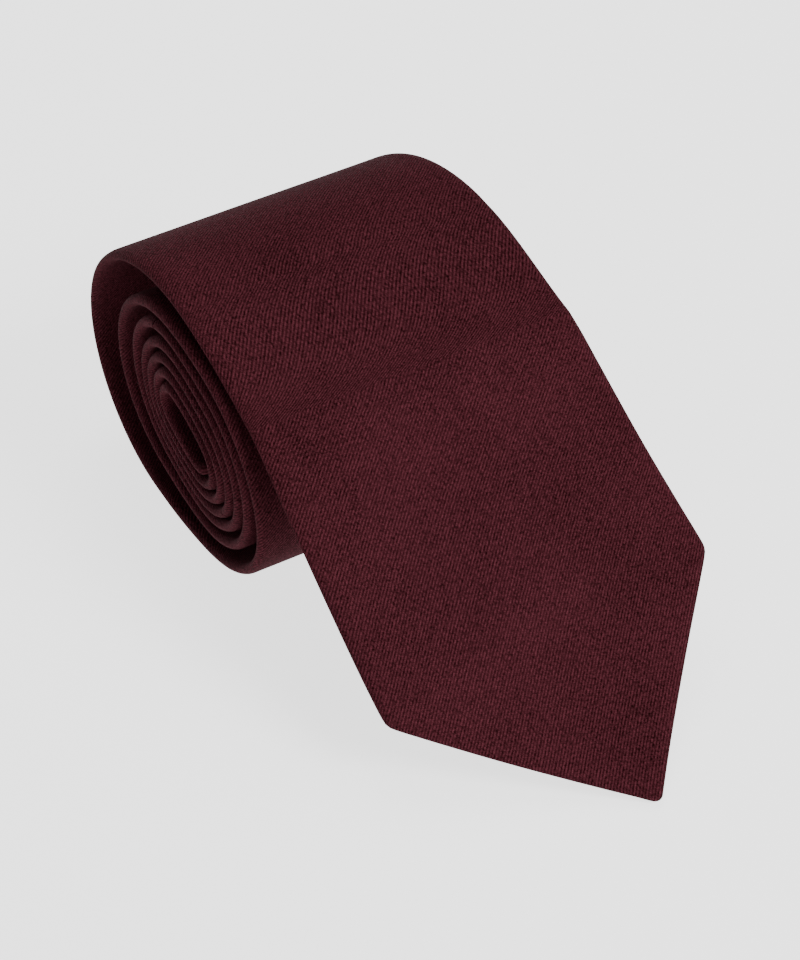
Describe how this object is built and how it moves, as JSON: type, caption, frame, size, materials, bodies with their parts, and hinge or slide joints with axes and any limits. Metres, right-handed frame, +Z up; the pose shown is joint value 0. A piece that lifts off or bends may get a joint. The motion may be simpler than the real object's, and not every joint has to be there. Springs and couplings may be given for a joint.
{
  "type": "rolled necktie",
  "caption": "Wine-coloured twill necktie rolled up edge-on from its narrow end, with the broad pointed blade lying forward off the roll.",
  "frame": {"origin": "under the middle of the whole rolled tie, on the surface it lies on", "axes": "+X along the roll's axis, away from the end whose edges lie flush; the blade points to -Y; +Z up"},
  "size_m": [0.0908, 0.1686, 0.069],
  "materials": {
    "outer_cloth": "fine diagonal twill, soft sheen",
    "tipping_satin": "smooth satin",
    "interlining_wool": "brushed wool",
    "thread": "twisted silk thread",
    "label_weave": "woven damask, blank",
    "care_weave": "woven tape, blank"
  },
  "bodies": {
    "roll": {"blade_shell_rolled": "outer_cloth", "neck_shell": "outer_cloth", "tail_shell_outer": "outer_cloth", "tail_shell_core": "outer_cloth", "blade_interlining_rolled": "interlining_wool", "tail_interlining": "interlining_wool", "tail_tipping": "tipping_satin", "slip_stitch": "thread", "tail_bar_tack": "thread", "blade_neck_seam": "thread", "neck_tail_seam": "thread", "keeper_loop": "outer_cloth", "keeper_tack_left": "thread", "keeper_tack_right": "thread", "blank_label": "label_weave", "blank_label_stitch_left": "thread", "blank_label_stitch_right": "thread", "care_label": "care_weave", "care_label_stitch_left": "thread", "care_label_stitch_right": "thread"},
    "blade": {"blade_shell_free": "outer_cloth", "blade_interlining_free": "interlining_wool", "blade_tipping": "tipping_satin", "blade_bar_tack": "thread"}
  },
  "joints": [
    {"name": "blade_lift", "type": "hinge", "parent": "roll", "child": "blade", "pos_m": [-0.00112, -0.00323, 0.05409], "axis": [-1, 0, 0], "range_deg": [0, 60]}
  ]
}
